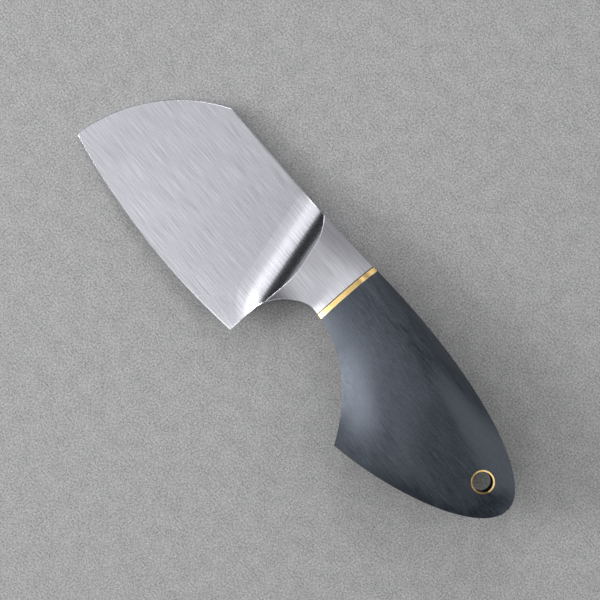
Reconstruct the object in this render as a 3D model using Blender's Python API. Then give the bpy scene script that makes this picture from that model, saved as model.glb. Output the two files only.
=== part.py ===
"""A small hand-made cleaver with an integral bolster, lying on its side as it rests on a table.

The knife is modelled flat. The tang's shoulder is at x = 0, the tip points to -X and the butt to +X,
the spine is towards +Y, and the blade's middle plane is z = 0. An empty then tips the knife on to the
handle's belly and the point of the blade. Lengths are in metres.
"""
import math

import bmesh
import bpy
import numpy as np
from mathutils import Matrix, Vector
from mathutils.geometry import interpolate_bezier

NAME = "mini_cleaver"

# Blade outline
EDGE_LENGTH = 0.06435
HEEL_SETBACK = 0.0116
HEEL_DROP = 0.0286
TIP_DROP = 0.0261
EDGE_RADIUS = 0.1940
NOSE_LENGTH = 0.0216
NOSE_RADIUS = 0.0429
SPINE_RISE = 0.0084

# Blade grind: a flat wedge that ends in a cove, which flares back at the heel, and the sharpened edge
SPINE_THICKNESS = 0.0032
EDGE_THICKNESS = 0.0002
DISTAL_TAPER = math.radians(0.2)
COVE_START = 0.0268
COVE_RADIUS = 0.01695
COVE_SKEW = math.radians(15.28)
COVE_TURN = math.radians(65.0)
FLARE_START = 0.0275
FLARE_RADIUS = 0.0103
SHARPENING_ANGLE = math.radians(35.0)
SHARPENING_REACH = 0.0030

# Finger notch, from the heel over its top to the hook of the handle
CHOIL_DROP = 0.0212
CHOIL_PULL = 0.0069
FINGER_TOP_SETBACK = 0.00145
FINGER_TOP_DROP = 0.0091
FINGER_FRONT_PULL = 0.0037
FINGER_BACK_PULL = 0.0122
HOOK_REACH = 0.02785
HOOK_DROP = 0.0273
HOOK_FRONT_SLOPE = math.radians(57.0)
HOOK_FRONT_PULL = 0.0130

# Handle outline, from the hook along the belly to the butt, and back along the spine
BELLY_SLOPE = math.radians(9.6)
BELLY_PULL = 0.0190
BUTT_REACH = 0.0677
BUTT_DROP = 0.0053
BUTT_BELLY_PULL = 0.0090
BUTT_SPINE_PULL = 0.0105
SHOULDER_RISE = 0.00915
SHOULDER_SLOPE = math.radians(4.4)
SPINE_PULL = 0.0360
SPINE_BLEND = 0.0170
SPINE_BLEND_PULL = 0.0060

# Grip section: full thickness along the middle, flat lands at the borders, and width of the crown's slopes
BOLSTER_THICKNESS = 0.01135
SWELL_SETBACK = 0.0121
BELLY_THICKNESS = 0.0210
BELLY_REACH = 0.0300
BUTT_THICKNESS = 0.0134
NOTCH_LAND_FRONT = 0.0058
NOTCH_LAND_BACK = 0.0100
NOTCH_LAND_CHANGE = 0.0220
SPINE_LAND_FRONT = 0.00795
SPINE_LAND_BACK = 0.0100
NOTCH_CROWN_FRONT = 0.0101
NOTCH_CROWN_BACK = 0.0300
BELLY_CROWN_FRONT = 0.0260
BELLY_CROWN_BACK = 0.0065
SPINE_CROWN_FRONT = 0.0062
SPINE_CROWN_BACK = 0.0100

# Spacer, tang, its bedding and the lanyard tube
SPACER_THICKNESS = 0.0014
TUBE_DIAMETER = 0.0060
TUBE_TO_BUTT = 0.0063
TUBE_RISE = 0.0002
TUBE_WALL = 0.0005
TANG_HEIGHT = 0.0110
TANG_THICKNESS = 0.0040
TANG_ROOT = 0.0050
BEDDING_WALL = 0.0008
GLUE_NOTCH_RADIUS = 0.0012
GLUE_NOTCH_PITCH = 0.0120
GLUE_NOTCH_ROWS = 3

# Clearance between touching pieces, and how far a cutter runs past what it cuts
GAP = 0.0003
OVERCUT = 0.0010

# How finely round forms are divided
CURVE_STEPS = 24
SECTION_STEPS = 16
BOLSTER_STATIONS = 22
HANDLE_STATIONS = 20
TUBE_SIDES = 48
RING_SIDES = 360

# Corners closer than this are one corner, and faces that meet at less than this angle are shaded as one
WELD = 1e-7
SMOOTH_ANGLE = math.radians(30.0)

# Search for the resting tilt: the steepest one tried, and how often the range is halved
STEEPEST_TILT = math.radians(30.0)
TILT_HALVINGS = 50


# Plain geometry helpers

def bezier(start, start_pull, end_pull, end):
    """Points along a cubic curve between two points, each with the vector that pulls the curve from it."""
    knots = [Vector((*p, 0.0)) for p in (start, start + start_pull, end + end_pull, end)]
    return np.array([p.to_2d() for p in interpolate_bezier(*knots, CURVE_STEPS + 1)])


def arc_centre(start, end, radius):
    """Centre of the arc from start to end that bulges to the left of its direction."""
    chord = end - start
    length = np.hypot(*chord)
    right = np.array((chord[1], -chord[0])) / length
    return (start + end) / 2 + right * math.sqrt(radius ** 2 - (length / 2) ** 2)


def arc(start, end, radius):
    """Points along the arc from start to end that bulges to the left of its direction."""
    centre = arc_centre(start, end, radius)
    first = math.atan2(*(start - centre)[::-1])
    turn = 2 * math.asin(np.hypot(*(end - start)) / 2 / radius)
    angles = first - turn * np.linspace(0, 1, CURVE_STEPS + 1)
    return centre + radius * np.column_stack((np.cos(angles), np.sin(angles)))


def direction(angle):
    return np.array((math.cos(angle), math.sin(angle)))


def smooth_step(value):
    value = np.clip(value, 0.0, 1.0)
    return value * value * (3 - 2 * value)


def between(first, last, share):
    return first + (last - first) * share


def distance_to(border, points):
    """Shortest distance from each point to a border, which is a chain of straight pieces."""
    start = border[:-1]
    piece = border[1:] - start
    offset = points[:, None] - start
    share = np.clip((offset * piece).sum(-1) / (piece ** 2).sum(-1), 0.0, 1.0)
    return np.linalg.norm(offset - share[..., None] * piece, axis=-1).min(axis=1)


def point_along(border, share):
    """The point at this share of a border's length."""
    steps = np.hypot(*np.diff(border, axis=0).T)
    run = np.concatenate(((0.0,), np.cumsum(steps)))
    return np.array([np.interp(share * run[-1], run, border[:, k]) for k in (0, 1)])


# Outline of the knife, seen from the side

HEEL = np.array((-HEEL_SETBACK, -HEEL_DROP))
TIP = np.array((-HEEL_SETBACK - EDGE_LENGTH, -TIP_DROP))
NOSE = np.array((TIP[0] + NOSE_LENGTH, SPINE_RISE))
CHOIL = np.array((-HEEL_SETBACK, -CHOIL_DROP))
FINGER_TOP = np.array((-FINGER_TOP_SETBACK, -FINGER_TOP_DROP))
HOOK = np.array((HOOK_REACH, -HOOK_DROP))
BUTT = np.array((BUTT_REACH, -BUTT_DROP))
SHOULDER = np.array((0.0, SHOULDER_RISE))
SPINE_END = np.array((-SPINE_BLEND, SPINE_RISE))
TUBE = BUTT + (-TUBE_TO_BUTT - TUBE_DIAMETER / 2, TUBE_RISE)
FORWARD = np.array((1.0, 0.0))
UP = np.array((0.0, 1.0))

EDGE_CENTRE = arc_centre(HEEL, TIP, EDGE_RADIUS)
NOTCH_BORDER = np.vstack((
    HEEL,
    bezier(CHOIL, CHOIL_PULL * UP, -FINGER_FRONT_PULL * FORWARD, FINGER_TOP),
    bezier(FINGER_TOP, FINGER_BACK_PULL * FORWARD, -HOOK_FRONT_PULL * direction(-HOOK_FRONT_SLOPE), HOOK)[1:],
))
BELLY_BORDER = bezier(HOOK, BELLY_PULL * direction(BELLY_SLOPE), -BUTT_BELLY_PULL * UP, BUTT)
SPINE_BORDER = np.vstack((
    NOSE,
    bezier(SPINE_END, SPINE_BLEND_PULL * FORWARD, -SPINE_BLEND_PULL * direction(SHOULDER_SLOPE), SHOULDER),
    bezier(SHOULDER, SPINE_PULL * direction(SHOULDER_SLOPE), BUTT_SPINE_PULL * UP, BUTT)[1:],
))
LOW_BORDER = np.vstack((NOTCH_BORDER[2:], BELLY_BORDER[1:]))


def low_point(x):
    return np.array((x, np.interp(x, *LOW_BORDER.T)))


def high_point(x):
    return np.array((x, np.interp(x, *SPINE_BORDER.T)))


# Crowned form that bolster, spacer and handle share, so that they are flush with each other

def middle_thickness(x):
    to_belly = smooth_step((x + SWELL_SETBACK) / (SWELL_SETBACK + BELLY_REACH))
    to_butt = smooth_step((x - BELLY_REACH) / (BUTT_REACH - BELLY_REACH))
    return between(between(BOLSTER_THICKNESS, BELLY_THICKNESS, to_belly), BUTT_THICKNESS, to_butt)


def crown(distance, width):
    """Share of the full height at a distance from a border: a parabola that is level past this width."""
    inward = 1 - np.clip(distance / width, 0.0, 1.0)
    return 1 - inward ** 2


def half_thickness(points):
    """Height of the grip's surface over the middle plane, at points of the outline's plane."""
    x = points[:, 0]
    notch = distance_to(NOTCH_BORDER, points)
    belly = distance_to(BELLY_BORDER, points)
    spine = distance_to(SPINE_BORDER, points)
    low = np.minimum(notch, belly)
    to_hook = smooth_step((x + HEEL_SETBACK) / NOTCH_LAND_CHANGE)
    to_butt = smooth_step((x + HEEL_SETBACK) / (BUTT_REACH + HEEL_SETBACK))
    low_land = between(NOTCH_LAND_FRONT, NOTCH_LAND_BACK, to_hook)
    spine_land = between(SPINE_LAND_FRONT, SPINE_LAND_BACK, to_butt)
    land = (low_land * spine + spine_land * low) / np.maximum(low + spine, GAP)
    rise = (crown(notch, between(NOTCH_CROWN_FRONT, NOTCH_CROWN_BACK, to_butt))
            * crown(belly, between(BELLY_CROWN_FRONT, BELLY_CROWN_BACK, to_butt))
            * crown(spine, between(SPINE_CROWN_FRONT, SPINE_CROWN_BACK, to_butt)))
    return (land + (middle_thickness(x) - land) * rise) / 2


def section_ring(low, high):
    """One closed section of the grip, over the line from a low border point to a high one."""
    share = (1 - np.cos(np.pi * np.linspace(0, 1, SECTION_STEPS + 1))) / 2
    plan = low + share[:, None] * (high - low)
    top = np.column_stack((plan, half_thickness(plan)))
    return np.vstack((top, (top * (1, 1, -1))[::-1]))


# Blender helpers

def clear_scene():
    for obj in list(bpy.data.objects):
        bpy.data.objects.remove(obj, do_unlink=True)


def new_collection(name):
    collection = bpy.data.collections.new(name)
    bpy.context.scene.collection.children.link(collection)
    return collection


def add_object(name, mesh, datum, collection, location=(0.0, 0.0, 0.0)):
    obj = bpy.data.objects.new(name, mesh)
    obj.location = location
    obj.parent = datum
    collection.objects.link(obj)
    return obj


def hide_cutter(obj):
    obj.hide_render = True
    obj.display_type = 'WIRE'
    return obj


def loft(name, rings):
    """A closed mesh through rings of equally many points, with flat ends."""
    bm = bmesh.new()
    loops = [[bm.verts.new(p) for p in ring] for ring in rings]
    count = len(rings[0])
    for near, far in zip(loops, loops[1:]):
        for k in range(count):
            after = (k + 1) % count
            bm.faces.new((near[k], far[k], far[after], near[after]))
    bm.faces.new(loops[0])
    bm.faces.new(reversed(loops[-1]))
    bmesh.ops.recalc_face_normals(bm, faces=bm.faces)
    mesh = bpy.data.meshes.new(name)
    bm.to_mesh(mesh)
    bm.free()
    return mesh


def extruded(name, outline, half_height):
    """A closed mesh from a flat outline, extruded both ways from its plane."""
    curve = bpy.data.curves.new(name, 'CURVE')
    curve.dimensions = '2D'
    curve.fill_mode = 'BOTH'
    curve.extrude = half_height
    spline = curve.splines.new('POLY')
    spline.points.add(len(outline) - 1)
    for point, (x, y) in zip(spline.points, outline):
        point.co = (x, y, 0.0, 1.0)
    spline.use_cyclic_u = True
    obj = bpy.data.objects.new(name, curve)
    bpy.context.scene.collection.objects.link(obj)
    evaluated = obj.evaluated_get(bpy.context.evaluated_depsgraph_get())
    mesh = bpy.data.meshes.new_from_object(evaluated)
    bpy.data.objects.remove(obj, do_unlink=True)
    bpy.data.curves.remove(curve)
    bm = bmesh.new()
    bm.from_mesh(mesh)
    bmesh.ops.remove_doubles(bm, verts=bm.verts, dist=WELD)
    bmesh.ops.recalc_face_normals(bm, faces=bm.faces)
    bm.to_mesh(mesh)
    bm.free()
    mesh.name = name
    return mesh


def cylinder(name, radius, depth, sides):
    bm = bmesh.new()
    bmesh.ops.create_cone(bm, cap_ends=True, segments=sides, radius1=radius, radius2=radius, depth=depth)
    mesh = bpy.data.meshes.new(name)
    bm.to_mesh(mesh)
    bm.free()
    return mesh


def stadium(start, end, radius):
    """Outline of a slot: all points within radius of the line from start to end."""
    axis = end - start
    angle = math.atan2(axis[1], axis[0])
    turn = np.linspace(-math.pi / 2, math.pi / 2, CURVE_STEPS + 1)
    near = [start + radius * direction(angle + math.pi + t) for t in turn]
    far = [end + radius * direction(angle + t) for t in turn]
    return np.array(near + far)


def boolean(obj, cutter, operation):
    modifier = obj.modifiers.new(cutter.name, 'BOOLEAN')
    modifier.operation = operation
    modifier.object = cutter
    modifier.solver = 'EXACT'


def cut_both_sides(obj, upper, lower, datum, cutters):
    """Cuts obj with a mesh at its place on each side of the knife's middle plane."""
    for side, (mesh, place) in (("upper", upper), ("lower", lower)):
        cutter = hide_cutter(add_object(f"{mesh.name}_{side}", mesh, datum, cutters))
        cutter.matrix_basis = place
        boolean(obj, cutter, 'DIFFERENCE')


def finish(obj, material):
    obj.data.materials.append(material)
    obj.data.shade_smooth()
    obj.data.set_sharp_from_angle(angle=SMOOTH_ANGLE)


def new_material(name, colour, roughness, metallic):
    material = bpy.data.materials.new(name)
    material.use_nodes = True
    shader = material.node_tree.nodes["Principled BSDF"]
    shader.inputs["Base Color"].default_value = (*colour, 1.0)
    shader.inputs["Roughness"].default_value = roughness
    shader.inputs["Metallic"].default_value = metallic
    return material


# Blade: profile, crowned bolster, ground flats with coves, sharpened edge and tang

def blade_depth():
    return SPINE_RISE + EDGE_RADIUS - EDGE_CENTRE[1]


def across_blade(low):
    """Where the line from a low point, running with the cove, meets the spine."""
    along = np.array((-math.sin(COVE_SKEW), math.cos(COVE_SKEW)))
    return low + along * (SPINE_RISE - low[1]) / along[1]


def bolster_form():
    """The crowned bolster before grinding, from a line through the heel to the shoulder."""
    front = across_blade(HEEL)
    low = np.vstack((NOTCH_BORDER[NOTCH_BORDER[:, 0] < 0.0], low_point(0.0)))
    inner_spine = SPINE_BORDER[(SPINE_BORDER[:, 0] > front[0]) & (SPINE_BORDER[:, 0] < 0.0)]
    high = np.vstack((front, inner_spine, SHOULDER))
    shares = np.linspace(0, 1, BOLSTER_STATIONS)
    return loft("blade", [section_ring(point_along(low, s), point_along(high, s)) for s in shares])


def plate_outline():
    """Profile of the blade before grinding. It overlaps the bolster and runs past the sharpened edge."""
    below = np.array((0.0, -OVERCUT))
    edge_run = arc(HEEL + below, TIP + below, EDGE_RADIUS)
    nose_run = arc(TIP, NOSE, NOSE_RADIUS)
    back_low = (HEEL + CHOIL) / 2
    return np.vstack((edge_run, nose_run, across_blade(back_low), back_low))


def grinding_profile():
    """Side view of what one pass of the wheel takes off: the blade's flat, then the cove and its wall."""
    length = EDGE_LENGTH + COVE_START
    turn = np.linspace(0, COVE_TURN, CURVE_STEPS + 1)
    cove = COVE_RADIUS * np.column_stack((np.sin(turn), 1 - np.cos(turn)))
    height = cove[-1, 1] + BELLY_THICKNESS
    wall_top = cove[-1] + direction(COVE_TURN) * (height - cove[-1, 1]) / math.sin(COVE_TURN)
    return np.vstack(((-length, height), (-length, 0.0), cove, wall_top))


def grinding_rings(side):
    """The grinding profile at stations from over the spine to under the edge, moved back by the flare.

    The side is 1 for the upper flat and -1 for the lower one, which gets the mirror image.
    """
    profile = grinding_profile()
    flare = np.linspace(FLARE_START, 1.5 * blade_depth(), CURVE_STEPS + 1)
    rings = []
    for down in (-blade_depth(), *flare):
        back = max(down - FLARE_START, 0.0) ** 2 / (2 * FLARE_RADIUS)
        rings.append([(x + back, -down, side * z) for x, z in profile])
    return rings


def grind(blade, datum, cutters):
    """Grinds both flats to the blade's wedge, with the coves' start at the spine."""
    wedge = math.atan((SPINE_THICKNESS - EDGE_THICKNESS) / 2 / blade_depth())
    start = Vector((-COVE_START, SPINE_RISE, SPINE_THICKNESS / 2))
    upper = (Matrix.Translation(start) @ Matrix.Rotation(wedge, 4, 'X')
             @ Matrix.Rotation(-DISTAL_TAPER, 4, 'Y') @ Matrix.Rotation(COVE_SKEW, 4, 'Z'))
    flip = Matrix.Diagonal((1.0, 1.0, -1.0, 1.0))
    upper_cut = (loft("grinding", grinding_rings(1)), upper)
    lower_cut = (loft("grinding", grinding_rings(-1)), flip @ upper @ flip)
    cut_both_sides(blade, upper_cut, lower_cut, datum, cutters)


def sharpen(blade, datum, cutters):
    """Cuts the two sharpening bevels, which are cones about the centre of the edge's arc."""
    slope = math.tan(SHARPENING_ANGLE)
    inner = (EDGE_RADIUS - SHARPENING_REACH, SHARPENING_REACH * slope)
    outer = (EDGE_RADIUS + 2 * OVERCUT, -2 * OVERCUT * slope)
    corner = (outer[0], inner[1] + OVERCUT)
    bm = bmesh.new()
    profile = [bm.verts.new((r, 0.0, z)) for r, z in (corner, outer, inner)]
    edges = [bm.edges.new((profile[k], profile[(k + 1) % 3])) for k in range(3)]
    bmesh.ops.spin(bm, geom=profile + edges, axis=(0.0, 0.0, 1.0), cent=(0.0, 0.0, 0.0),
                   angle=2 * math.pi, steps=RING_SIDES, use_merge=True)
    bmesh.ops.remove_doubles(bm, verts=bm.verts, dist=WELD)
    bmesh.ops.recalc_face_normals(bm, faces=bm.faces)
    mesh = bpy.data.meshes.new("sharpening_ring")
    bm.to_mesh(mesh)
    bm.free()
    upper = Matrix.Translation((*EDGE_CENTRE, 0.0))
    lower = upper @ Matrix.Rotation(math.pi, 4, 'X')
    cut_both_sides(blade, (mesh, upper), (mesh, lower), datum, cutters)


def tang_line():
    """Middle of the tang, from its root inside the bolster to the lanyard tube."""
    root = np.array((-TANG_ROOT, (high_point(0.0)[1] + low_point(0.0)[1]) / 2))
    return root, TUBE


def tang_slot(name, clearance):
    """The tang's shape with this much clearance all round."""
    outline = stadium(*tang_line(), TANG_HEIGHT / 2 + clearance)
    return extruded(name, outline, TANG_THICKNESS / 2 + clearance)


def build_tang(datum, cutters):
    tang = hide_cutter(add_object("tang", tang_slot("tang", 0.0), datum, cutters))
    root, end = tang_line()
    along = (end - root) / np.hypot(*(end - root))
    across = np.array((-along[1], along[0]))
    middle = (np.hypot(*(end - root)) + TANG_ROOT) / 2
    notch_mesh = cylinder("glue_notch", GLUE_NOTCH_RADIUS, TANG_THICKNESS + 2 * OVERCUT, CURVE_STEPS)
    for row in range(GLUE_NOTCH_ROWS):
        reach = middle + (row - (GLUE_NOTCH_ROWS - 1) / 2) * GLUE_NOTCH_PITCH
        for side in (-1, 1):
            spot = root + reach * along + side * across * TANG_HEIGHT / 2
            notch = add_object(f"glue_notch_{row}_{side}", notch_mesh, datum, cutters, (*spot, 0.0))
            boolean(tang, hide_cutter(notch), 'DIFFERENCE')
    return tang


def build_blade(datum, parts, cutters, tube_bore):
    blade = add_object("blade", bolster_form(), datum, parts)
    plate = extruded("blade_plate", plate_outline(), BELLY_THICKNESS / 2)
    plate = hide_cutter(add_object("blade_plate", plate, datum, cutters))
    boolean(blade, plate, 'UNION')
    grind(blade, datum, cutters)
    sharpen(blade, datum, cutters)

    tang = build_tang(datum, cutters)
    boolean(blade, tang, 'UNION')
    boolean(blade, tube_bore, 'DIFFERENCE')
    finish(blade, new_material("satin_steel", (0.62, 0.62, 0.64), 0.32, 1.0))
    return blade


# Spacer, handle, bedding and lanyard tube

def grip_rings(stations):
    return [section_ring(low_point(x), high_point(x)) for x in stations]


def spacer_back():
    return GAP + SPACER_THICKNESS


def handle_front():
    return spacer_back() + GAP


def build_spacer(datum, parts, cutters):
    mesh = loft("spacer", grip_rings((GAP, spacer_back())))
    spacer = add_object("spacer", mesh, datum, parts)
    slot = hide_cutter(add_object("spacer_slot", tang_slot("spacer_slot", GAP), datum, cutters))
    boolean(spacer, slot, 'DIFFERENCE')
    finish(spacer, new_material("spacer_brass", (0.80, 0.58, 0.26), 0.28, 1.0))
    return spacer


def handle_form():
    """The whole handle: even steps to the hook, then steps that close up towards the round butt."""
    front = np.linspace(handle_front(), HOOK_REACH, HANDLE_STATIONS)
    turn = np.linspace(0, math.pi / 2, HANDLE_STATIONS + 1)[1:-1]
    back = HOOK_REACH + (BUTT_REACH - HOOK_REACH) * np.sin(turn)
    return loft("handle", grip_rings(np.concatenate((front, back))))


def build_handle(datum, parts, cutters, tube_bore):
    handle = add_object("handle", handle_form(), datum, parts)
    mortise = tang_slot("mortise", GAP + BEDDING_WALL + GAP)
    mortise = hide_cutter(add_object("mortise", mortise, datum, cutters))
    boolean(handle, mortise, 'DIFFERENCE')
    boolean(handle, tube_bore, 'DIFFERENCE')
    finish(handle, new_material("handle_black", (0.035, 0.040, 0.047), 0.45, 0.0))
    return handle


def build_bedding(datum, parts, cutters, tube_bore):
    """Cured epoxy between tang and mortise, open at the spacer."""
    bedding = add_object("tang_bedding", tang_slot("tang_bedding", GAP + BEDDING_WALL), datum, parts)
    behind_spacer = np.array(((handle_front(), -HOOK_DROP), (BUTT_REACH, -HOOK_DROP),
                              (BUTT_REACH, HOOK_DROP), (handle_front(), HOOK_DROP)))
    inside = extruded("bedding_inside", behind_spacer, BELLY_THICKNESS)
    inside = hide_cutter(add_object("bedding_inside", inside, datum, cutters))
    pocket = hide_cutter(add_object("bedding_pocket", tang_slot("bedding_pocket", GAP), datum, cutters))
    boolean(bedding, inside, 'INTERSECT')
    boolean(bedding, pocket, 'DIFFERENCE')
    boolean(bedding, tube_bore, 'DIFFERENCE')
    finish(bedding, new_material("bedding_epoxy", (0.45, 0.36, 0.20), 0.35, 0.0))
    return bedding


def build_tube(datum, parts, cutters):
    """The lanyard tube, ground flush with the handle on both sides."""
    place = (*TUBE, 0.0)
    length = BELLY_THICKNESS + 2 * OVERCUT
    outside = cylinder("lanyard_tube", TUBE_DIAMETER / 2, length, TUBE_SIDES)
    tube = add_object("lanyard_tube", outside, datum, parts, place)
    bore = cylinder("tube_hole", TUBE_DIAMETER / 2 - TUBE_WALL, length + 2 * OVERCUT, TUBE_SIDES)
    bore = hide_cutter(add_object("tube_hole", bore, datum, cutters, place))
    flush = hide_cutter(add_object("tube_flush", handle_form(), datum, cutters))
    boolean(tube, flush, 'INTERSECT')
    boolean(tube, bore, 'DIFFERENCE')
    finish(tube, new_material("tube_brass", (0.80, 0.58, 0.26), 0.30, 1.0))
    return tube


def build_tube_bore(datum, cutters):
    """Hole for the tube, through handle, bedding and tang."""
    mesh = cylinder("tube_bore", TUBE_DIAMETER / 2 + GAP, BELLY_THICKNESS + 2 * OVERCUT, TUBE_SIDES)
    return hide_cutter(add_object("tube_bore", mesh, datum, cutters, (*TUBE, 0.0)))


# Resting pose

def corners_of(obj):
    """The finished piece's corners, in the knife's own flat frame."""
    evaluated = obj.evaluated_get(bpy.context.evaluated_depsgraph_get())
    offset = np.array(obj.location)
    return np.array([v.co for v in evaluated.data.vertices]) + offset


def lay_down(datum, blade, handle, pieces):
    """Tips the knife until tip and handle both touch the table, and centres its box over the origin."""
    blade_corners = corners_of(blade)
    handle_corners = corners_of(handle)

    def height(corners, tilt):
        return corners[:, 0] * math.sin(tilt) + corners[:, 2] * math.cos(tilt)

    low, high = 0.0, STEEPEST_TILT
    for _ in range(TILT_HALVINGS):
        tilt = (low + high) / 2
        if height(handle_corners, tilt).min() < height(blade_corners, tilt).min():
            low = tilt
        else:
            high = tilt
    everything = np.vstack([corners_of(piece) for piece in pieces])
    x = everything[:, 0] * math.cos(tilt) - everything[:, 2] * math.sin(tilt)
    y = everything[:, 1]
    datum.rotation_euler = (0.0, -tilt, 0.0)
    datum.location = (-(x.min() + x.max()) / 2, -(y.min() + y.max()) / 2, -height(everything, tilt).min())


def main():
    clear_scene()
    parts = new_collection(NAME)
    cutters = new_collection(NAME + "_cutters")
    datum = bpy.data.objects.new(NAME, None)
    parts.objects.link(datum)
    tube_bore = build_tube_bore(datum, cutters)
    blade = build_blade(datum, parts, cutters, tube_bore)
    spacer = build_spacer(datum, parts, cutters)
    handle = build_handle(datum, parts, cutters, tube_bore)
    bedding = build_bedding(datum, parts, cutters, tube_bore)
    tube = build_tube(datum, parts, cutters)
    lay_down(datum, blade, handle, (blade, spacer, handle, bedding, tube))


main()
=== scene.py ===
"""Looks of the mini cleaver: fine surfaces, materials, floor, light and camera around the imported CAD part.

The pieces are made flat, as in the part's source: x from tip to butt, y towards the spine, z = 0 in the
blade's middle plane. RESTING then lays each of them on the table. Lengths are in metres.
"""
import math

import bmesh
import bpy
import numpy as np
from mathutils import Matrix


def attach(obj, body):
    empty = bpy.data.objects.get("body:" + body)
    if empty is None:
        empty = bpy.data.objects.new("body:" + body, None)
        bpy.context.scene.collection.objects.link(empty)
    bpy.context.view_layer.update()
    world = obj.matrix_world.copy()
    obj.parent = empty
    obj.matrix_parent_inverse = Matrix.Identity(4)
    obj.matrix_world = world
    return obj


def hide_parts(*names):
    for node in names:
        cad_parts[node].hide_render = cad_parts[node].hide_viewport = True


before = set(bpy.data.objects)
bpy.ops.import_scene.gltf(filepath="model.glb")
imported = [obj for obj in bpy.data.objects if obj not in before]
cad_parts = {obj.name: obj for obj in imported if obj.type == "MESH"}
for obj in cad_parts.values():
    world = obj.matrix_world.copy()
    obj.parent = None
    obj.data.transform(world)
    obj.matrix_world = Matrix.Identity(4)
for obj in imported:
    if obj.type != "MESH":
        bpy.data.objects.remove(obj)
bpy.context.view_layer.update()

MM = 0.001

# Where the CAD lays the knife down
TILT = math.radians(5.643498)
RESTING_PLACE = (0.003920, 0.010210, 0.007781)
RESTING = Matrix.Translation(RESTING_PLACE) @ Matrix.Rotation(-TILT, 4, 'Y')

# Sizes of the part, as in its source
EDGE_LENGTH = 0.06435
HEEL_SETBACK = 0.0116
HEEL_DROP = 0.0286
TIP_DROP = 0.0261
EDGE_RADIUS = 0.1940
NOSE_LENGTH = 0.0216
NOSE_RADIUS = 0.0429
SPINE_RISE = 0.0084
SPINE_THICKNESS = 0.0032
EDGE_THICKNESS = 0.0002
DISTAL_TAPER = math.radians(0.2)
COVE_START = 0.0268
COVE_RADIUS = 0.01695
COVE_SKEW = math.radians(15.28)
FLARE_START = 0.0275
FLARE_RADIUS = 0.0103
SHARPENING_ANGLE = math.radians(35.0)
CHOIL_DROP = 0.0212
CHOIL_PULL = 0.0069
FINGER_TOP_SETBACK = 0.00145
FINGER_TOP_DROP = 0.0091
FINGER_FRONT_PULL = 0.0037
FINGER_BACK_PULL = 0.0122
HOOK_REACH = 0.02785
HOOK_DROP = 0.0273
HOOK_FRONT_SLOPE = math.radians(57.0)
HOOK_FRONT_PULL = 0.0130
BELLY_SLOPE = math.radians(9.6)
BELLY_PULL = 0.0190
BUTT_REACH = 0.0677
BUTT_DROP = 0.0053
BUTT_BELLY_PULL = 0.0090
BUTT_SPINE_PULL = 0.0105
SHOULDER_RISE = 0.00915
SHOULDER_SLOPE = math.radians(4.4)
SPINE_PULL = 0.0360
SPINE_BLEND = 0.0170
SPINE_BLEND_PULL = 0.0060
BOLSTER_THICKNESS = 0.01135
SWELL_SETBACK = 0.0121
BELLY_THICKNESS = 0.0210
BELLY_REACH = 0.0300
BUTT_THICKNESS = 0.0134
NOTCH_LAND_FRONT = 0.0058
NOTCH_LAND_BACK = 0.0100
NOTCH_LAND_CHANGE = 0.0220
SPINE_LAND_FRONT = 0.00795
SPINE_LAND_BACK = 0.0100
NOTCH_CROWN_FRONT = 0.0101
NOTCH_CROWN_BACK = 0.0300
BELLY_CROWN_FRONT = 0.0260
BELLY_CROWN_BACK = 0.0065
SPINE_CROWN_FRONT = 0.0062
SPINE_CROWN_BACK = 0.0100
SPACER_THICKNESS = 0.0014
TUBE_DIAMETER = 0.0060
TUBE_WALL = 0.0005
TUBE_TO_BUTT = 0.0063
TUBE_RISE = 0.0002
GAP = 0.0003

# Small features that only the looks have
SHOULDER_FACE = 0.12 * MM
GLUE_LINE = 0.26 * MM
GLUE_INSET = 0.04 * MM
EASED_RIM = 0.26 * MM
EASED_CHOIL = 0.06 * MM
EASED_SHARE_OF_HEIGHT = 0.6
CREASE_FRONT = 0.06 * MM
CREASE_BACK = 0.08 * MM
BORE_OVERLAP = 0.03 * MM
TUBE_SKIRT = 0.6 * MM
TUBE_PROUD = 0.015 * MM
TUBE_OUTER_EASING = (0.05 * MM, 0.03 * MM)
TUBE_INNER_EASING = (0.07 * MM, 0.08 * MM)
TUBE_BORE_DEPTHS = (0.5 * MM, 2.0 * MM)

# How finely the surfaces are divided
CURVE_STEPS = 72
ROWS = 61
TUBE_SIDES = 128
NOSE_COLUMNS = 60
SPINE_COLUMNS = 30
HEEL_COLUMNS = 26
CHOIL_COLUMNS = 20
NOTCH_STATIONS = 60
BUTT_STATIONS = 72
BAND_STATIONS = 3
CREASE_SHARES = np.concatenate((np.linspace(0, 0.96, 22)[1:], (0.985, 1.0)))
BOLSTER_SHARES = np.concatenate(((0.0, 0.006, 0.016, 0.03), np.linspace(0.05, 1, 46)))

# Rows that lie close together at the blade's borders, and the row where the bevel ends
LOW_EASED_ROWS = np.array((0.0, 0.3, 0.65, 1.0, 1.3))
HIGH_EASED_ROWS = np.array((1.3, 1.0, 0.65, 0.3, 0.1, 0.0))
BEVEL_STEP = 0.12 * MM
BEVEL_ROW = 2
FULL_ROWS_LENGTH = 3 * MM
COVE_END = 0.6 * MM

# Limits and counts of the numeric steps
COVE_LIMIT = 0.95
GRIND_ROUNDS = 6
BEVEL_ROUNDS = 8
BORDER_SAMPLES = 4000
CREASE_SAMPLES = 1200
CREASE_NEAREST = 0.0040
CREASE_FARTHEST = 0.0155
BEFORE_CREASE = -1.0
PAST_CREASE = 1e-5
TINY = 1e-9
MERGE_DISTANCE = 2e-7
DEGENERATE_LENGTH = 1e-8
SHARP_ANGLE = math.radians(35.0)
PLAN_SCALE = 10

# Floor, camera and lamps
FLOOR_SIZE = 2.0
FLOOR_DROP = 0.06 * MM
VIEW_TURN = math.radians(49.5)
CAMERA_PLACE = (-0.001855, 0.0, 0.430)
LAMP_DISTANCE = 1.0


# Geometry helpers

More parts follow.
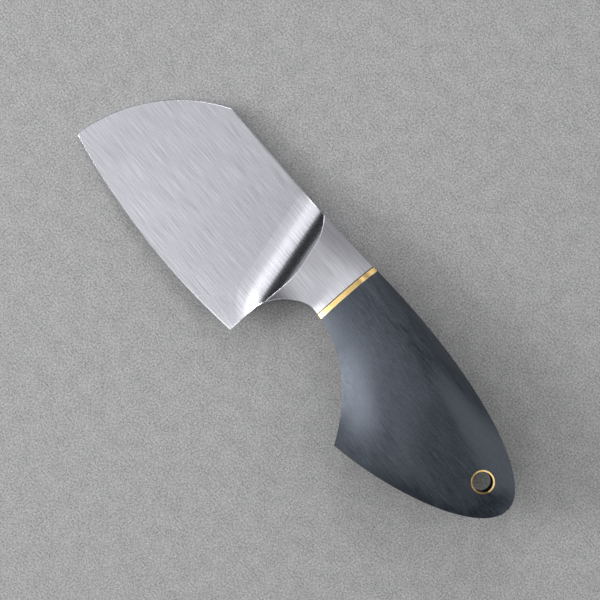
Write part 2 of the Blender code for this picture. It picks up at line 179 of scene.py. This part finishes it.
def bezier(start, start_pull, end_pull, end):
    share = np.linspace(0, 1, CURVE_STEPS + 1)[:, None]
    a, b, c, d = start, start + start_pull, end + end_pull, end
    rest = 1 - share
    return rest ** 3 * a + 3 * rest ** 2 * share * b + 3 * rest * share ** 2 * c + share ** 3 * d


def arc_centre(start, end, radius):
    chord = end - start
    length = np.hypot(*chord)
    right = np.array((chord[1], -chord[0])) / length
    return (start + end) / 2 + right * math.sqrt(radius ** 2 - (length / 2) ** 2)


def arc(start, end, radius):
    """Points along the arc from start to end that bulges to the left of its direction."""
    centre = arc_centre(start, end, radius)
    first = math.atan2(*(start - centre)[::-1])
    turn = 2 * math.asin(np.hypot(*(end - start)) / 2 / radius)
    angles = first - turn * np.linspace(0, 1, CURVE_STEPS + 1)
    return centre + radius * np.column_stack((np.cos(angles), np.sin(angles)))


def direction(angle):
    return np.array((math.cos(angle), math.sin(angle)))


def smooth_step(value):
    value = np.clip(value, 0.0, 1.0)
    return value * value * (3 - 2 * value)


def between(first, last, share):
    return first + (last - first) * share


def distance_to(border, points):
    start = border[:-1]
    piece = border[1:] - start
    offset = points[:, None] - start
    share = np.clip((offset * piece).sum(-1) / (piece ** 2).sum(-1), 0.0, 1.0)
    return np.linalg.norm(offset - share[..., None] * piece, axis=-1).min(axis=1)


def run_of(line):
    """Distance travelled along a line, at each of its points."""
    return np.concatenate(((0.0,), np.cumsum(np.hypot(*np.diff(line, axis=0).T))))


def along(line, runs):
    """Points of a line at these distances from its start."""
    run = run_of(line)
    return np.column_stack([np.interp(runs, run, line[:, k]) for k in (0, 1)])


def point_along(line, run):
    return along(line, [run])[0]


def rounded_shares(count):
    """Shares from 0 to 1 that crowd together at both ends."""
    return (1 - np.cos(np.pi * np.linspace(0, 1, count))) / 2


# Outline of the knife

HEEL = np.array((-HEEL_SETBACK, -HEEL_DROP))
TIP = np.array((-HEEL_SETBACK - EDGE_LENGTH, -TIP_DROP))
NOSE = np.array((TIP[0] + NOSE_LENGTH, SPINE_RISE))
CHOIL = np.array((-HEEL_SETBACK, -CHOIL_DROP))
FINGER_TOP = np.array((-FINGER_TOP_SETBACK, -FINGER_TOP_DROP))
HOOK = np.array((HOOK_REACH, -HOOK_DROP))
BUTT = np.array((BUTT_REACH, -BUTT_DROP))
SHOULDER = np.array((0.0, SHOULDER_RISE))
SPINE_END = np.array((-SPINE_BLEND, SPINE_RISE))
TUBE = BUTT + (-TUBE_TO_BUTT - TUBE_DIAMETER / 2, TUBE_RISE)
FORWARD = np.array((1.0, 0.0))
UP = np.array((0.0, 1.0))
HOOK_FRONT = direction(-HOOK_FRONT_SLOPE)
SHOULDER_WAY = direction(SHOULDER_SLOPE)

EDGE_CENTRE = arc_centre(HEEL, TIP, EDGE_RADIUS)
EDGE_LINE = arc(HEEL, TIP, EDGE_RADIUS)[::-1]
NOSE_LINE = arc(TIP, NOSE, NOSE_RADIUS)
NOTCH_BORDER = np.vstack((
    HEEL,
    bezier(CHOIL, CHOIL_PULL * UP, -FINGER_FRONT_PULL * FORWARD, FINGER_TOP),
    bezier(FINGER_TOP, FINGER_BACK_PULL * FORWARD, -HOOK_FRONT_PULL * HOOK_FRONT, HOOK)[1:],
))
BELLY_BORDER = bezier(HOOK, BELLY_PULL * direction(BELLY_SLOPE), -BUTT_BELLY_PULL * UP, BUTT)
SPINE_BORDER = np.vstack((
    NOSE,
    bezier(SPINE_END, SPINE_BLEND_PULL * FORWARD, -SPINE_BLEND_PULL * SHOULDER_WAY, SHOULDER),
    bezier(SHOULDER, SPINE_PULL * SHOULDER_WAY, BUTT_SPINE_PULL * UP, BUTT)[1:],
))

# The low border leaves out the upright stretch from the heel to the choil
LOW_BORDER = np.vstack((NOTCH_BORDER[2:], BELLY_BORDER[1:]))

# Borders with eased edges: nose and spine up to the shoulder, and heel up to the finger's top
RIM = np.vstack((NOSE_LINE, SPINE_BORDER[1:CURVE_STEPS + 2]))
HEEL_RIM = NOTCH_BORDER[:CURVE_STEPS + 2]


def low_point(x):
    return np.array((x, np.interp(x, *LOW_BORDER.T)))


def high_point(x):
    return np.array((x, np.interp(x, *SPINE_BORDER.T)))


def grip_columns(stations):
    """Columns of plan points across the grip, from the low border to the spine."""
    share = rounded_shares(ROWS)[:, None]
    columns = []
    for x in stations:
        low, high = low_point(x), high_point(x)
        columns.append(low + share * (high - low))
    return columns


# Form of the grip, and of the ground blade

def middle_thickness(x):
    to_belly = smooth_step((x + SWELL_SETBACK) / (SWELL_SETBACK + BELLY_REACH))
    to_butt = smooth_step((x - BELLY_REACH) / (BUTT_REACH - BELLY_REACH))
    return between(between(BOLSTER_THICKNESS, BELLY_THICKNESS, to_belly), BUTT_THICKNESS, to_butt)


def crown(distance, width):
    """Share of the full height at a distance from a border: a parabola that is level past this width."""
    inward = 1 - np.clip(distance / width, 0.0, 1.0)
    return 1 - inward ** 2


def half_thickness(points):
    """Height of the grip's surface over the middle plane."""
    x = points[:, 0]
    notch = distance_to(NOTCH_BORDER, points)
    belly = distance_to(BELLY_BORDER, points)
    spine = distance_to(SPINE_BORDER, points)
    low = np.minimum(notch, belly)
    to_hook = smooth_step((x + HEEL_SETBACK) / NOTCH_LAND_CHANGE)
    to_butt = smooth_step((x + HEEL_SETBACK) / (BUTT_REACH + HEEL_SETBACK))
    low_land = between(NOTCH_LAND_FRONT, NOTCH_LAND_BACK, to_hook)
    spine_land = between(SPINE_LAND_FRONT, SPINE_LAND_BACK, to_butt)
    land = (low_land * spine + spine_land * low) / np.maximum(low + spine, GAP)
    rise = (crown(notch, between(NOTCH_CROWN_FRONT, NOTCH_CROWN_BACK, to_butt))
            * crown(belly, between(BELLY_CROWN_FRONT, BELLY_CROWN_BACK, to_butt))
            * crown(spine, between(SPINE_CROWN_FRONT, SPINE_CROWN_BACK, to_butt)))
    return (land + (middle_thickness(x) - land) * rise) / 2


BLADE_DEPTH = SPINE_RISE + EDGE_RADIUS - EDGE_CENTRE[1]
WEDGE = math.atan((SPINE_THICKNESS - EDGE_THICKNESS) / 2 / BLADE_DEPTH)
GRIND_TURN = np.array(Matrix.Rotation(WEDGE, 3, 'X') @ Matrix.Rotation(-DISTAL_TAPER, 3, 'Y')
                      @ Matrix.Rotation(COVE_SKEW, 3, 'Z'))
GRIND_START = np.array((-COVE_START, SPINE_RISE, SPINE_THICKNESS / 2))
ACROSS = direction(COVE_SKEW)


def into_cove(points):
    """How far points lie behind the line where the cove starts."""
    return (points - GRIND_START[:2]) @ ACROSS


HEEL_REACH = into_cove(HEEL[None])[0]


def cove_rise(reach):
    return COVE_RADIUS - np.sqrt(COVE_RADIUS ** 2 - np.clip(reach, 0.0, COVE_LIMIT * COVE_RADIUS) ** 2)


def ground_height(points):
    """Height of the flat and of the cove over the middle plane."""
    rise = np.zeros(len(points))
    turn_plan = np.linalg.inv(GRIND_TURN[:2, :2])
    for _ in range(GRIND_ROUNDS):
        flat = (points - GRIND_START[:2] - rise[:, None] * GRIND_TURN[:2, 2]) @ turn_plan.T
        flare = np.maximum(-flat[:, 1] - FLARE_START, 0.0) ** 2 / (2 * FLARE_RADIUS)
        rise = cove_rise(flat[:, 0] - flare)
    return GRIND_START[2] + flat @ GRIND_TURN[2, :2] + rise * GRIND_TURN[2, 2]


def edge_height(points):
    """Height of the sharpening bevel."""
    return (EDGE_RADIUS - np.hypot(*(points - EDGE_CENTRE).T)) * math.tan(SHARPENING_ANGLE)


def blade_height(points):
    """Height of the ground blade, with eased edges everywhere but at the cutting edge."""
    ground = np.maximum(np.minimum(ground_height(points), edge_height(points)), 0.0)
    drop = np.zeros(len(points))
    for rim, easing in ((RIM, EASED_RIM), (HEEL_RIM, EASED_CHOIL)):
        radius = np.minimum(easing, EASED_SHARE_OF_HEIGHT * ground) + TINY
        inward = 1 - np.clip(distance_to(rim, points) / radius, 0.0, 1.0)
        drop = np.maximum(drop, radius * (1 - np.sqrt(1 - inward ** 2)))
    return ground - drop


# Mesh helpers

def new_piece(name, bm, materials, node):
    """Lays a flat-made body on the table as a piece that takes the place of a CAD node, if one is named."""
    bmesh.ops.recalc_face_normals(bm, faces=bm.faces)
    mesh = bpy.data.meshes.new(name)
    layer = bm.loops.layers.uv.new("plan")
    for face in bm.faces:
        for loop in face.loops:
            loop[layer].uv = (loop.vert.co.y * PLAN_SCALE, -loop.vert.co.x * PLAN_SCALE)
    bm.to_mesh(mesh)
    bm.free()
    mesh.transform(RESTING)
    mesh.shade_smooth()
    hard = [edge.index for edge in mesh.edges if edge.use_edge_sharp]
    mesh.set_sharp_from_angle(angle=SHARP_ANGLE)
    for index in hard:
        mesh.edges[index].use_edge_sharp = True
    piece = bpy.data.objects.new(name, mesh)
    bpy.context.scene.collection.objects.link(piece)
    for material in materials:
        mesh.materials.append(material)
    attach(piece, "root")
    if node:
        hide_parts(node)
    return piece


def two_sided(columns, heights, first_columns=None, bevel_columns=0, close_ends=(True, True)):
    """A closed body from columns of plan points, mirrored about z = 0, with walls round its border.

    Faces behind the first columns take the second material. Over the bevel's columns, the line where
    the bevel ends stays sharp.
    """
    bm = bmesh.new()
    first_columns = first_columns or len(columns)
    sides = []
    for sign in (1, -1):
        sides.append([[bm.verts.new((x, y, sign * z)) for (x, y), z in zip(plan, height)]
                      for plan, height in zip(columns, heights)])
    top, bottom = sides
    for grid, flip in ((top, False), (bottom, True)):
        for index, (a, b) in enumerate(zip(grid, grid[1:])):
            for k in range(len(a) - 1):
                quad = (a[k], b[k], b[k + 1], a[k + 1])
                face = bm.faces.new(quad[::-1] if flip else quad)
                face.material_index = int(index >= first_columns)
    for row in (0, -1):
        for k in range(len(top) - 1):
            face = bm.faces.new((top[k][row], top[k + 1][row], bottom[k + 1][row], bottom[k][row]))
            face.material_index = int(k >= first_columns)
    for end, wanted in zip((0, -1), close_ends):
        for k in range(len(top[0]) - 1) if wanted else ():
            bm.faces.new((top[end][k], top[end][k + 1], bottom[end][k + 1], bottom[end][k]))
    for grid in sides:
        for near, far in zip(grid[:bevel_columns], grid[1:bevel_columns]):
            edge = bm.edges.get((near[BEVEL_ROW], far[BEVEL_ROW]))
            if edge:
                edge.smooth = False
    bmesh.ops.remove_doubles(bm, verts=bm.verts, dist=MERGE_DISTANCE)
    bmesh.ops.dissolve_degenerate(bm, edges=bm.edges, dist=DEGENERATE_LENGTH)
    return bm


# Materials

NOISE_SPAN = (0.30, 0.70)


def new_material(name):
    material = bpy.data.materials.new(name)
    material.use_nodes = True
    tree = material.node_tree
    return material, tree, tree.nodes["Principled BSDF"]


def mapped(tree, scale, turn=0.0):
    """The piece's own coordinates, turned about z and scaled."""
    place = tree.nodes.new('ShaderNodeTexCoord')
    mapping = tree.nodes.new('ShaderNodeMapping')
    mapping.inputs['Scale'].default_value = scale
    mapping.inputs['Rotation'].default_value = (0.0, 0.0, turn)
    tree.links.new(place.outputs['Object'], mapping.inputs['Vector'])
    return mapping.outputs['Vector']


def noise(tree, vector, detail=3.0, roughness=0.55):
    node = tree.nodes.new('ShaderNodeTexNoise')
    node.inputs['Scale'].default_value = 1.0
    node.inputs['Detail'].default_value = detail
    node.inputs['Roughness'].default_value = roughness
    tree.links.new(vector, node.inputs['Vector'])
    return node.outputs['Fac']


def ramp(tree, value, first, last, span=NOISE_SPAN):
    """Turns values over a span into a number or a colour from first to last."""
    low, high = span
    if isinstance(first, float):
        node = tree.nodes.new('ShaderNodeMapRange')
        node.inputs['From Min'].default_value = low
        node.inputs['From Max'].default_value = high
        node.inputs['To Min'].default_value = first
        node.inputs['To Max'].default_value = last
        tree.links.new(value, node.inputs['Value'])
        return node.outputs['Result']
    node = tree.nodes.new('ShaderNodeValToRGB')
    node.color_ramp.elements[0].position = low
    node.color_ramp.elements[1].position = high
    node.color_ramp.elements[0].color = (*first, 1.0)
    node.color_ramp.elements[1].color = (*last, 1.0)
    tree.links.new(value, node.inputs['Fac'])
    return node.outputs['Color']


def maths(tree, operation, first, second):
    node = tree.nodes.new('ShaderNodeMath')
    node.operation = operation
    for socket, value in zip(node.inputs, (first, second)):
        if isinstance(value, float):
            socket.default_value = value
        else:
            tree.links.new(value, socket)
    return node.outputs['Value']


def blend(tree, first, share, second):
    """This share of the first value, and the rest of the second."""
    first_part = maths(tree, 'MULTIPLY', first, share)
    second_part = maths(tree, 'MULTIPLY', second, 1.0 - share)
    return maths(tree, 'ADD', first_part, second_part)


def bump(tree, shader, height, strength, distance):
    node = tree.nodes.new('ShaderNodeBump')
    node.inputs['Strength'].default_value = strength
    node.inputs['Distance'].default_value = distance
    tree.links.new(height, node.inputs['Height'])
    tree.links.new(node.outputs['Normal'], shader.inputs['Normal'])


def satin_steel(name, first, last, roughness, anisotropy):
    """Steel with a ground grain along the blade."""
    material, tree, shader = new_material(name)
    shader.inputs['Metallic'].default_value = 1.0
    shader.inputs['Anisotropic'].default_value = anisotropy
    fine = noise(tree, mapped(tree, (120.0, 6500.0, 0.0)), detail=2.0, roughness=0.6)
    broad = noise(tree, mapped(tree, (60.0, 1400.0, 0.0)))
    grain = blend(tree, fine, 0.82, broad)
    rough_change = 0.04
    rough = ramp(tree, grain, roughness + rough_change, roughness - rough_change)
    tree.links.new(ramp(tree, grain, first, last), shader.inputs['Base Color'])
    tree.links.new(rough, shader.inputs['Roughness'])
    bump(tree, shader, grain, strength=0.12, distance=0.02 * MM)
    tangent = tree.nodes.new('ShaderNodeTangent')
    tangent.direction_type = 'UV_MAP'
    tangent.uv_map = "plan"
    tree.links.new(tangent.outputs['Tangent'], shader.inputs['Tangent'])
    return material


def brass():
    material, tree, shader = new_material("brass_satin")
    shader.inputs['Metallic'].default_value = 1.0
    grain = noise(tree, mapped(tree, (700.0, 5000.0, 5000.0)))
    colour = ramp(tree, grain, (0.84, 0.58, 0.22), (0.96, 0.69, 0.31))
    tree.links.new(colour, shader.inputs['Base Color'])
    tree.links.new(ramp(tree, grain, 0.34, 0.24), shader.inputs['Roughness'])
    bump(tree, shader, grain, strength=0.06, distance=0.03 * MM)
    return material


def cloudy(name, first, last, roughness):
    """A plain surface with a faint cloudiness, for the glue, the tube's inside (painted near-black as shade)
    and the tang's bedding.
    """
    material, tree, shader = new_material(name)
    cloud = noise(tree, mapped(tree, (900.0, 900.0, 900.0)))
    tree.links.new(ramp(tree, cloud, first, last), shader.inputs['Base Color'])
    shader.inputs['Roughness'].default_value = roughness
    return material


def handle_black():
    """Black sanded material: specks, and scratches that run at an angle to the handle."""
    material, tree, shader = new_material("handle_black_sanded")
    cloud = noise(tree, mapped(tree, (260.0, 260.0, 260.0)), detail=4.0, roughness=0.6)
    speck = noise(tree, mapped(tree, (2600.0, 2600.0, 2600.0)), detail=2.0)
    scratch = noise(tree, mapped(tree, (160.0, 4200.0, 1500.0), turn=math.radians(24.0)))
    marks = blend(tree, speck, 0.4, scratch)
    mixed = blend(tree, cloud, 0.12, marks)
    colour = ramp(tree, mixed, (0.001, 0.002, 0.004), (0.034, 0.043, 0.058), span=(0.42, 0.62))
    tree.links.new(colour, shader.inputs['Base Color'])
    rough = ramp(tree, blend(tree, mixed, 0.5, scratch), 0.33, 0.45, span=(0.35, 0.65))
    tree.links.new(rough, shader.inputs['Roughness'])
    shader.inputs['IOR'].default_value = 1.8
    shader.inputs['Specular Tint'].default_value = (0.76, 0.85, 1.0, 1.0)
    bump(tree, shader, maths(tree, 'ADD', scratch, speck), strength=0.5, distance=0.03 * MM)
    return material


def floor_paper():
    material, tree, shader = new_material("floor_paper")
    fibre = noise(tree, mapped(tree, (2200.0, 2200.0, 2200.0)), detail=4.0, roughness=0.7)
    cloud = noise(tree, mapped(tree, (260.0, 260.0, 260.0)))
    mixed = blend(tree, fibre, 0.88, cloud)
    colour = ramp(tree, mixed, (0.16, 0.16, 0.163), (0.72, 0.72, 0.725))
    tree.links.new(colour, shader.inputs['Base Color'])
    shader.inputs['Roughness'].default_value = 0.9
    shader.inputs['Specular IOR Level'].default_value = 0.2
    bump(tree, shader, mixed, strength=0.35, distance=0.2 * MM)
    return material


# Blade and bolster

def first_crossing(reaches, difference):
    """Reach at which the difference first turns positive."""
    k = int(np.argmax((difference[:-1] < 0) & (difference[1:] >= 0)))
    share = difference[k] / (difference[k] - difference[k + 1])
    return reaches[k] + share * (reaches[k + 1] - reaches[k])


def crease_on(border):
    """Distance along a border at which the cove cuts it."""
    runs = np.linspace(0, run_of(border)[-1], BORDER_SAMPLES)
    points = along(border, runs)
    behind = (into_cove(points) > 0) & (points[:, 0] < 0)
    difference = np.where(behind, ground_height(points) - half_thickness(points), BEFORE_CREASE)
    return first_crossing(runs, difference)


def crease_line():
    """The line where the cove meets the crowned bolster, from the notch to the spine.

    The distances along the two borders at which it starts and ends come with it.
    """
    low_run = crease_on(NOTCH_BORDER)
    high_run = crease_on(SPINE_BORDER)
    low = point_along(NOTCH_BORDER, low_run)
    high = point_along(SPINE_BORDER, high_run)
    reaches = np.linspace(CREASE_NEAREST, CREASE_FARTHEST, CREASE_SAMPLES)
    line = [low]
    for share in rounded_shares(ROWS)[1:-1]:
        foot = low + share * (high - low)
        foot = foot - into_cove(foot[None])[0] * ACROSS
        points = foot + reaches[:, None] * ACROSS
        inside = ((points[:, 1] > np.interp(points[:, 0], *HEEL_RIM[2:].T))
                  & (points[:, 1] < np.interp(points[:, 0], *SPINE_BORDER.T)))
        difference = np.where(inside, ground_height(points) - half_thickness(points), PAST_CREASE)
        line.append(foot + first_crossing(reaches, difference) * ACROSS)
    line.append(high)
    return np.array(line), low_run, high_run


def cove_on_spine(reach):
    """The spine's point at this distance behind the line where the cove starts."""
    return GRIND_START[:2] + np.array((reach / ACROSS[0], 0.0))


def blade_rows(low, high, bevelled):
    """Points from a low border point to a high one, closer together at the bevel and at the eased edges."""
    length = np.hypot(*(high - low))
    if length < TINY:
        return np.repeat(low[None], ROWS, axis=0)
    unit = (high - low) / length
    if bevelled:
        bevel = EDGE_THICKNESS
        for _ in range(BEVEL_ROUNDS):
            here = (low + bevel * unit)[None]
            slope = edge_height(here)[0] / bevel
            bevel = ground_height(here)[0] / slope
        start = np.array((0.0, 0.5 * bevel, bevel, bevel + BEVEL_STEP))
    else:
        start = LOW_EASED_ROWS * EASED_CHOIL
    stop = HIGH_EASED_ROWS * EASED_RIM
    shrink = min(1.0, length / FULL_ROWS_LENGTH)
    start, stop = start * shrink, length - stop * shrink
    middle = np.linspace(start[-1], stop[0], ROWS - len(start) - len(stop) + 2)[1:-1]
    return low + np.concatenate((start, middle, stop))[:, None] * unit


def flat_columns():
    """The flat, from the tip to the line where the cove starts."""
    cove_on_edge = np.interp(0.0, into_cove(EDGE_LINE), run_of(EDGE_LINE))
    top_line = np.vstack((NOSE_LINE, GRIND_START[:2]))
    top_run = run_of(top_line)
    nose_share = top_run[CURVE_STEPS] / top_run[-1]
    shares = np.concatenate((np.linspace(0, nose_share, NOSE_COLUMNS),
                             np.linspace(nose_share, 1, SPINE_COLUMNS)[1:]))
    lows = along(EDGE_LINE, shares * cove_on_edge)
    highs = along(top_line, shares * top_run[-1])
    return [blade_rows(low, high, True) for low, high in zip(lows, highs)]


def heel_columns():
    """The cove over the cutting edge, up to the heel."""
    edge_reach = into_cove(EDGE_LINE)
    edge_run = run_of(EDGE_LINE)
    columns = []
    for reach in np.linspace(0, HEEL_REACH, HEEL_COLUMNS)[1:]:
        low = point_along(EDGE_LINE, np.interp(reach, edge_reach, edge_run))
        columns.append(blade_rows(low, cove_on_spine(reach), True))
    return columns


def choil_columns(crease, low_run, high_run):
    """The cove behind the heel, then its steep end up to the crease."""
    border_run = run_of(NOTCH_BORDER)[:CURVE_STEPS]
    border_reach = into_cove(NOTCH_BORDER[:CURVE_STEPS])
    last_reach = into_cove(crease[:1])[0] - COVE_END
    columns = []
    for reach in np.linspace(HEEL_REACH, last_reach, CHOIL_COLUMNS):
        low = point_along(NOTCH_BORDER, np.interp(reach, border_reach, border_run))
        columns.append(blade_rows(low, cove_on_spine(reach), False))
    before = columns[-1]
    low_start = np.interp(last_reach, border_reach, border_run)
    low_end = low_run - CREASE_FRONT
    front = crease - CREASE_FRONT * ACROSS
    front[0] = point_along(NOTCH_BORDER, low_end)
    front[-1] = point_along(SPINE_BORDER, high_run - CREASE_FRONT)
    for share in CREASE_SHARES:
        column = between(before, front, share)
        column[0] = point_along(NOTCH_BORDER, between(low_start, low_end, share))
        columns.append(column)
    return columns


def bolster_columns(crease, low_run, high_run):
    """The crowned bolster, from the crease to the shoulder."""
    low_start = low_run + CREASE_BACK
    high_start = high_run + CREASE_BACK
    low_end = np.interp(SHOULDER_FACE, NOTCH_BORDER[1:, 0], run_of(NOTCH_BORDER)[1:])
    high_end = np.interp(SHOULDER_FACE, SPINE_BORDER[:, 0], run_of(SPINE_BORDER))
    front = crease + CREASE_BACK * ACROSS
    front[0] = point_along(NOTCH_BORDER, low_start)
    front[-1] = point_along(SPINE_BORDER, high_start)
    back = grip_columns((SHOULDER_FACE,))[0]
    rows = rounded_shares(ROWS)[:, None]
    columns = []
    for share in BOLSTER_SHARES:
        low = point_along(NOTCH_BORDER, between(low_start, low_end, share))
        high = point_along(SPINE_BORDER, between(high_start, high_end, share))
        column = (1 - share) * front + share * back
        columns.append(column + (1 - rows) * (low - column[0]) + rows * (high - column[-1]))
    return columns


def build_blade(ground_steel, bolster_steel):
    crease = crease_line()
    edged = flat_columns() + heel_columns()
    ground = edged + choil_columns(*crease)
    bolster = bolster_columns(*crease)
    heights = [blade_height(column) for column in ground]
    heights += [half_thickness(column) for column in bolster]
    body = two_sided(ground + bolster, heights, len(ground), len(edged), close_ends=(False, True))
    new_piece("blade_skin", body, (ground_steel, bolster_steel), "blade")


# Grip: glue line, spacer, handle and lanyard tube

def build_band(name, start, stop, inset, material, node):
    """A plate across the grip between two stations."""
    columns = grip_columns(np.linspace(start, stop, BAND_STATIONS))
    heights = [half_thickness(column) - inset for column in columns]
    new_piece(name, two_sided(columns, heights), (material,), node)


def tube_bore():
    """A rod through the handle, a little thinner than the tube."""
    radius = TUBE_DIAMETER / 2 - BORE_OVERLAP
    bm = bmesh.new()
    bmesh.ops.create_cone(bm, cap_ends=True, segments=TUBE_SIDES, radius1=radius, radius2=radius,
                          depth=2 * BELLY_THICKNESS)
    bmesh.ops.translate(bm, vec=(*TUBE, 0.0), verts=bm.verts)
    mesh = bpy.data.meshes.new("tube_bore")
    bm.to_mesh(mesh)
    bm.free()
    bore = bpy.data.objects.new("tube_bore", mesh)
    bpy.context.scene.collection.objects.link(bore)
    bore.matrix_world = RESTING
    return bore


def drill(piece, bore):
    """Cuts the bore out of a piece's mesh, and removes the bore."""
    modifier = piece.modifiers.new("bore", 'BOOLEAN')
    modifier.operation = 'DIFFERENCE'
    modifier.solver = 'EXACT'
    modifier.object = bore
    bpy.context.view_layer.update()
    evaluated = piece.evaluated_get(bpy.context.evaluated_depsgraph_get())
    drilled = bpy.data.meshes.new_from_object(evaluated)
    piece.modifiers.clear()
    piece.data = drilled
    drilled.set_sharp_from_angle(angle=SHARP_ANGLE)
    bpy.data.objects.remove(bore, do_unlink=True)


def build_handle(material):
    front = np.linspace(GAP + SPACER_THICKNESS, HOOK_REACH, NOTCH_STATIONS)
    turn = np.linspace(0, math.pi / 2, BUTT_STATIONS)[1:]
    back = HOOK_REACH + (BUTT_REACH - HOOK_REACH) * np.sin(turn)
    columns = grip_columns(np.concatenate((front, back)))
    heights = [half_thickness(column) for column in columns]
    handle = new_piece("handle_skin", two_sided(columns, heights), (material,), "handle")
    drill(handle, tube_bore())


def build_tube(material, inside):
    """The brass tube: flush rings with softened edges, and a bore painted near-black as shade."""
    outer = TUBE_DIAMETER / 2
    inner = outer - TUBE_WALL
    outer_across, outer_down = TUBE_OUTER_EASING
    inner_across, inner_down = TUBE_INNER_EASING
    ring = [(outer, -TUBE_SKIRT), (outer, -outer_down), (outer - outer_across, TUBE_PROUD),
            (inner + inner_across, TUBE_PROUD)]
    bore = [(inner, -depth) for depth in (inner_down, *TUBE_BORE_DEPTHS)]
    profile = ring + bore
    # The bore's rings take the second material: near-black, painted shade for the deep hole
    painted_shade_rings = range(len(ring), len(ring) + 2 * len(bore) - 1)
    angles = np.linspace(0, 2 * math.pi, TUBE_SIDES, endpoint=False)
    bm = bmesh.new()
    rings = []
    for sign in (1, -1):
        for radius, lift in profile[::sign]:
            plan = TUBE + radius * np.column_stack((np.cos(angles), np.sin(angles)))
            height = sign * (half_thickness(plan) + lift)
            rings.append([bm.verts.new((x, y, z)) for (x, y), z in zip(plan, height)])
    rings.append(rings[0])
    for index, (near, far) in enumerate(zip(rings, rings[1:])):
        for k in range(TUBE_SIDES):
            after = (k + 1) % TUBE_SIDES
            face = bm.faces.new((near[k], near[after], far[after], far[k]))
            face.material_index = int(index in painted_shade_rings)
    new_piece("lanyard_tube_skin", bm, (material, inside), "lanyard_tube")


# Floor, light and camera

def build_floor():
    bm = bmesh.new()
    bmesh.ops.create_grid(bm, x_segments=1, y_segments=1, size=FLOOR_SIZE)
    mesh = bpy.data.meshes.new("floor")
    bm.to_mesh(mesh)
    bm.free()
    mesh.materials.append(floor_paper())
    floor = bpy.data.objects.new("floor", mesh)
    floor.location.z = -FLOOR_DROP
    bpy.context.scene.collection.objects.link(floor)


def soft_light(name, azimuth, off_zenith, size, power):
    """A soft box that faces the knife.

    Azimuth is counted in the picture, from its right side towards its top. The first size is along the
    horizon, and the second towards the zenith.
    """
    turn = math.radians(azimuth) + VIEW_TURN
    lean = math.radians(off_zenith)
    light = bpy.data.lights.new(name, 'AREA')
    light.shape = 'RECTANGLE'
    light.size, light.size_y = size
    light.energy = power
    lamp = bpy.data.objects.new(name, light)
    lamp.rotation_euler = (lean, 0.0, turn + math.pi / 2)
    level = LAMP_DISTANCE * math.sin(lean)
    lamp.location = (level * math.cos(turn), level * math.sin(turn), LAMP_DISTANCE * math.cos(lean))
    bpy.context.scene.collection.objects.link(lamp)


def build_light():
    soft_light("box_left", 180.0, 60.0, (0.45, 0.36), 5.0)
    soft_light("box_left_high", 186.0, 30.0, (0.40, 0.40), 0.27)

    # Four panels over one another, all with the same low border, grow brighter towards it
    soft_light("panel_wide", 142.0, 32.0, (0.70, 1.25), 0.82)
    soft_light("panel_high", 142.0, 39.5, (0.85, 0.90), 0.78)
    soft_light("panel_middle", 142.0, 45.0, (0.90, 0.69), 0.22)
    soft_light("panel_low", 142.0, 50.5, (0.90, 0.48), 0.30)

    soft_light("panel_lower_left", 238.0, 40.0, (0.40, 0.40), 0.7)
    soft_light("panel_right", 5.0, 38.0, (0.55, 0.80), 1.9)
    soft_light("strip_right", 22.0, 65.0, (0.45, 0.40), 0.7)
    soft_light("strip_lower_left", 216.0, 67.0, (0.40, 0.40), 0.9)
    soft_light("panel_top", 90.0, 55.0, (0.40, 0.40), 2.0)
    soft_light("strip_top_right", 60.0, 75.0, (0.40, 0.40), 0.6)
    soft_light("ceiling_low_side", 215.0, 14.0, (0.40, 0.40), 0.75)
    world = bpy.data.worlds.new("studio")
    world.use_nodes = True
    background = world.node_tree.nodes["Background"]
    background.inputs['Color'].default_value = (0.9, 0.95, 1.0, 1.0)
    background.inputs['Strength'].default_value = 0.02
    bpy.context.scene.world = world


def build_camera():
    camera = bpy.data.cameras.new("camera")
    camera.lens = 100.0
    camera.sensor_width = 36.0
    camera.clip_end = 10.0
    holder = bpy.data.objects.new("camera", camera)
    holder.location = CAMERA_PLACE
    holder.rotation_euler = (0.0, 0.0, VIEW_TURN)
    bpy.context.scene.collection.objects.link(holder)
    bpy.context.scene.camera = holder


build_camera()
build_light()
build_floor()
build_blade(satin_steel("steel_ground", (0.49, 0.49, 0.535), (0.92, 0.92, 0.995), 0.21, anisotropy=0.75),
            satin_steel("steel_bolster", (0.46, 0.46, 0.50), (0.80, 0.80, 0.86), 0.42, anisotropy=0.85))
brass_satin = brass()
glue = cloudy("glue_line", (0.030, 0.017, 0.008), (0.060, 0.034, 0.016), 0.5)
spacer_front = SHOULDER_FACE + GLUE_LINE
spacer_back = GAP + SPACER_THICKNESS
build_band("glue_line", SHOULDER_FACE, spacer_front, GLUE_INSET, glue, None)
build_band("spacer_skin", spacer_front, spacer_back, 0.0, brass_satin, "spacer")
build_handle(handle_black())
# The tube's bore is painted near-black: painted shade standing in for the dark, deep hole
build_tube(brass_satin, cloudy("tube_inside_painted_shade", (0.003, 0.003, 0.002), (0.007, 0.006, 0.005), 0.7))
bedding_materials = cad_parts["tang_bedding"].data.materials
bedding_materials.clear()
bedding_materials.append(cloudy("bedding_resin", (0.38, 0.29, 0.15), (0.50, 0.40, 0.23), 0.35))

bpy.context.scene.view_settings.view_transform = 'Standard'
